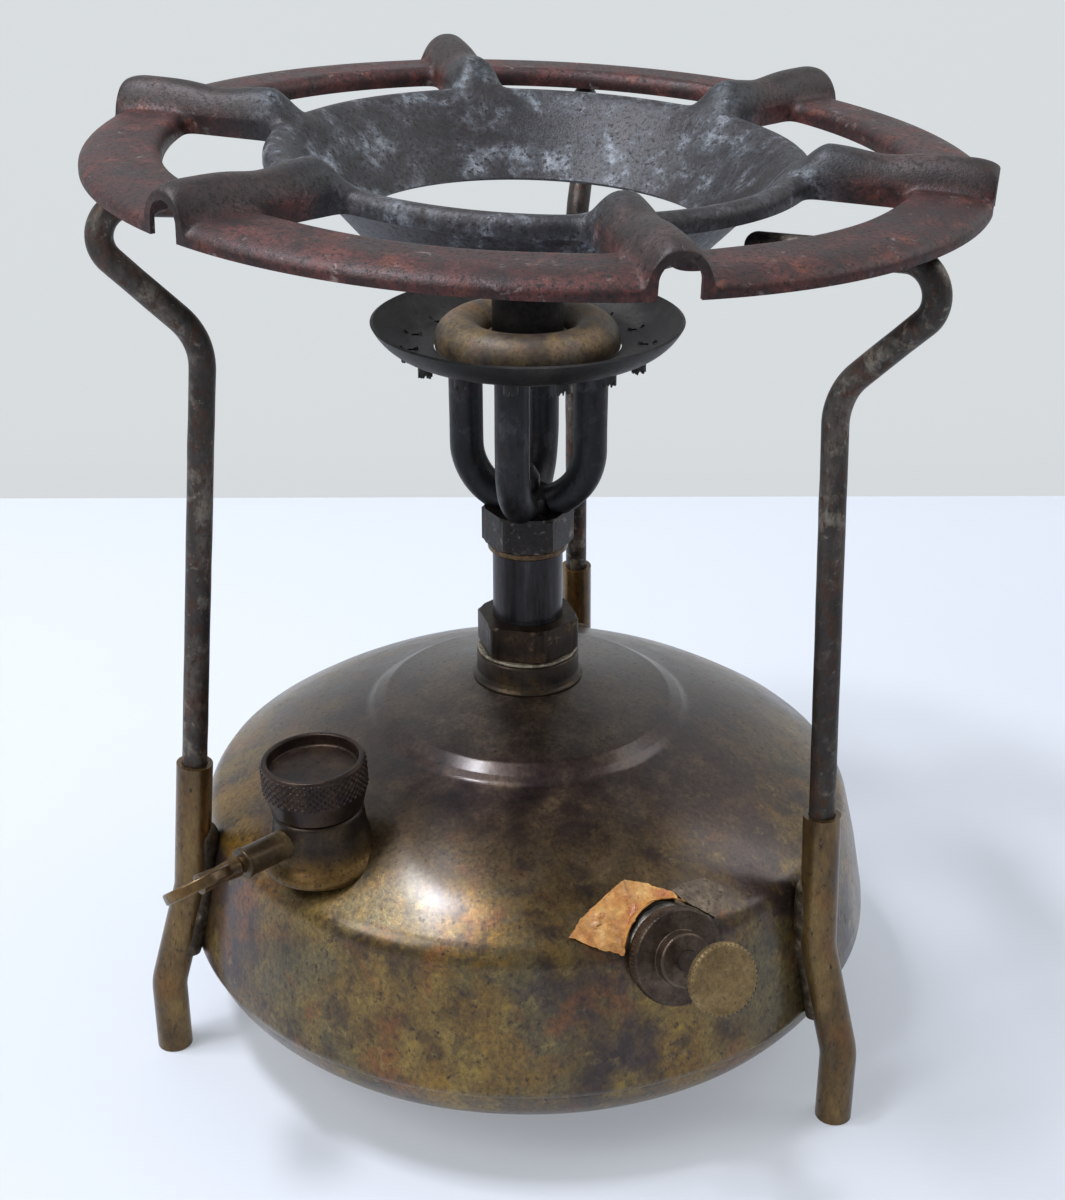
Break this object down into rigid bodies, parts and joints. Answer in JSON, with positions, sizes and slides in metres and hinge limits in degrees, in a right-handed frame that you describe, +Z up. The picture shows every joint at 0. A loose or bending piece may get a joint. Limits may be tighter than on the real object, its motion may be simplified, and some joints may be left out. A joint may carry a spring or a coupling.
{
  "type": "pressure stove",
  "caption": "Pressurised kerosene stove: round brass tank on tube legs, bent support rods, ribbed pot ring, caged burner with flame caps, hand pump and capped filler.",
  "frame": {"origin": "on the floor, on the burner's axis", "axes": "+Z up along the burner's axis, -Y towards the side with the filler and the pump, X across"},
  "size_m": [0.2049, 0.2074, 0.2366],
  "materials": {
    "tank_brass": "tarnished, satin",
    "bush_brass": "satin",
    "neck_brass": "dull, tarnished",
    "leg_brass": "brown, satin",
    "solder": "dull grey solder",
    "pump_brass": "dark, satin",
    "rod_brass": "worn satin",
    "spring_steel": "satin",
    "rod_steel": "pitted, rusty",
    "ring_iron": "scaled and rusty",
    "washer_fibre": "matte",
    "cup_leather": "oiled",
    "lead": "dull grey lead",
    "nut_brass": "dark brown, satin",
    "riser_steel": "dark satin",
    "collar_copper": "coppery, worn",
    "cage_steel": "heat-blackened",
    "head_bronze": "heat-tinted",
    "dish_iron": "sooty, worn rim",
    "cap_iron": "sooty"
  },
  "bodies": {
    "tank": {"tank_top": "tank_brass", "tank_bowl": "tank_brass", "burner_bush": "bush_brass", "filler_neck": "neck_brass", "leg_tube_right": "leg_brass", "leg_tube_back": "leg_brass", "leg_tube_left": "leg_brass", "leg_solder_right": "solder", "leg_solder_back": "solder", "leg_solder_left": "solder", "pump_solder": "solder", "pump_barrel": "pump_brass", "valve_body": "bush_brass", "valve_spring": "spring_steel"},
    "rod_right": {"support_rod_right": "rod_steel"},
    "rod_back": {"support_rod_back": "rod_steel"},
    "rod_left": {"support_rod_left": "rod_steel"},
    "ring": {"pot_ring": "ring_iron", "ring_funnel": "ring_iron"},
    "filler_seal": {"filler_washer": "washer_fibre"},
    "filler_lid": {"filler_cap": "neck_brass"},
    "vent": {"vent_screw": "leg_brass"},
    "plunger": {"pump_rod": "rod_brass", "pump_knob": "rod_brass", "cup_washer_back": "bush_brass", "cup_leather": "cup_leather", "cup_washer_front": "bush_brass", "cup_nut": "bush_brass"},
    "pump_lid": {"pump_cap": "pump_brass"},
    "pip": {"valve_pip": "neck_brass"},
    "burner_seal": {"burner_washer": "lead"},
    "burner": {"burner_nut": "nut_brass", "burner_riser": "riser_steel", "hub_collar": "collar_copper", "burner_hub": "nut_brass", "vapour_tube_1": "cage_steel", "vapour_tube_2": "cage_steel", "vapour_tube_3": "cage_steel", "vapour_tube_4": "cage_steel", "burner_head": "head_bronze", "burner_throat": "head_bronze", "burner_dish": "dish_iron", "jet": "bush_brass"},
    "inner_flame_cap": {"inner_cap": "cap_iron"},
    "outer_flame_cap": {"outer_cap": "cap_iron"}
  },
  "joints": [
    {"name": "rod_right_swing", "type": "hinge", "parent": "tank", "child": "rod_right", "pos_m": [0.06922, -0.05798, 0.047], "axis": [-0.0235, 0.0832, 0.9963], "range_deg": [-10, 10]},
    {"name": "rod_back_swing", "type": "hinge", "parent": "tank", "child": "rod_back", "pos_m": [0.0156, 0.08894, 0.047], "axis": [-0.0142, -0.0807, 0.9966], "range_deg": [-10, 10]},
    {"name": "rod_left_swing", "type": "hinge", "parent": "tank", "child": "rod_left", "pos_m": [-0.08483, -0.03096, 0.047], "axis": [0.0877, 0.0265, 0.9958], "range_deg": [-10, 10]},
    {"name": "ring_lift", "type": "slide", "parent": "tank", "child": "ring", "axis": [0.0364, -0.0225, 0.9991], "range_m": [0, 0.05]},
    {"name": "filler_rise", "type": "slide", "parent": "tank", "child": "filler_seal", "axis": [-0.0421, -0.0113, 0.999], "range_m": [0, 0.0075]},
    {"name": "filler_turn", "type": "hinge", "parent": "filler_seal", "child": "filler_lid", "pos_m": [-0.0493, -0.05, 0.07], "axis": [-0.0421, -0.0113, 0.999], "range_deg": [0, 2160]},
    {"name": "vent_turn", "type": "hinge", "parent": "tank", "child": "vent", "pos_m": [-0.0493, -0.05, 0.076], "axis": [-0.7193, -0.6947, 0], "range_deg": [0, 720]},
    {"name": "pump_stroke", "type": "slide", "parent": "tank", "child": "plunger", "axis": [0.363, -0.8635, 0.3502], "range_m": [-0.013, 0.055]},
    {"name": "pump_cap_turn", "type": "hinge", "parent": "tank", "child": "pump_lid", "pos_m": [0.0341, -0.08112, 0.0603], "axis": [0.363, -0.8635, 0.3502], "range_deg": [0, 720]},
    {"name": "valve_lift", "type": "slide", "parent": "tank", "child": "pip", "axis": [-0.363, 0.8635, -0.3502], "range_m": [0, 0.0008], "stiffness_N_per_m": 60, "springref_m": -0.002},
    {"name": "burner_rise", "type": "slide", "parent": "tank", "child": "burner_seal", "axis": [0, 0, 1], "range_m": [0, 0.01125]},
    {"name": "burner_turn", "type": "hinge", "parent": "burner_seal", "child": "burner", "pos_m": [0, 0, 0.0983], "axis": [0, 0, 1], "range_deg": [0, 3240]},
    {"name": "inner_cap_lift", "type": "slide", "parent": "burner", "child": "inner_flame_cap", "axis": [0, 0, 1], "range_m": [0, 0.02]},
    {"name": "outer_cap_lift", "type": "slide", "parent": "inner_flame_cap", "child": "outer_flame_cap", "axis": [0, 0, 1], "range_m": [0, 0.03]}
  ],
  "couplings": [
    {"joint": "filler_turn", "follows": "filler_rise", "rad_per_m": 5026.5},
    {"joint": "burner_turn", "follows": "burner_rise", "rad_per_m": 5026.5}
  ]
}
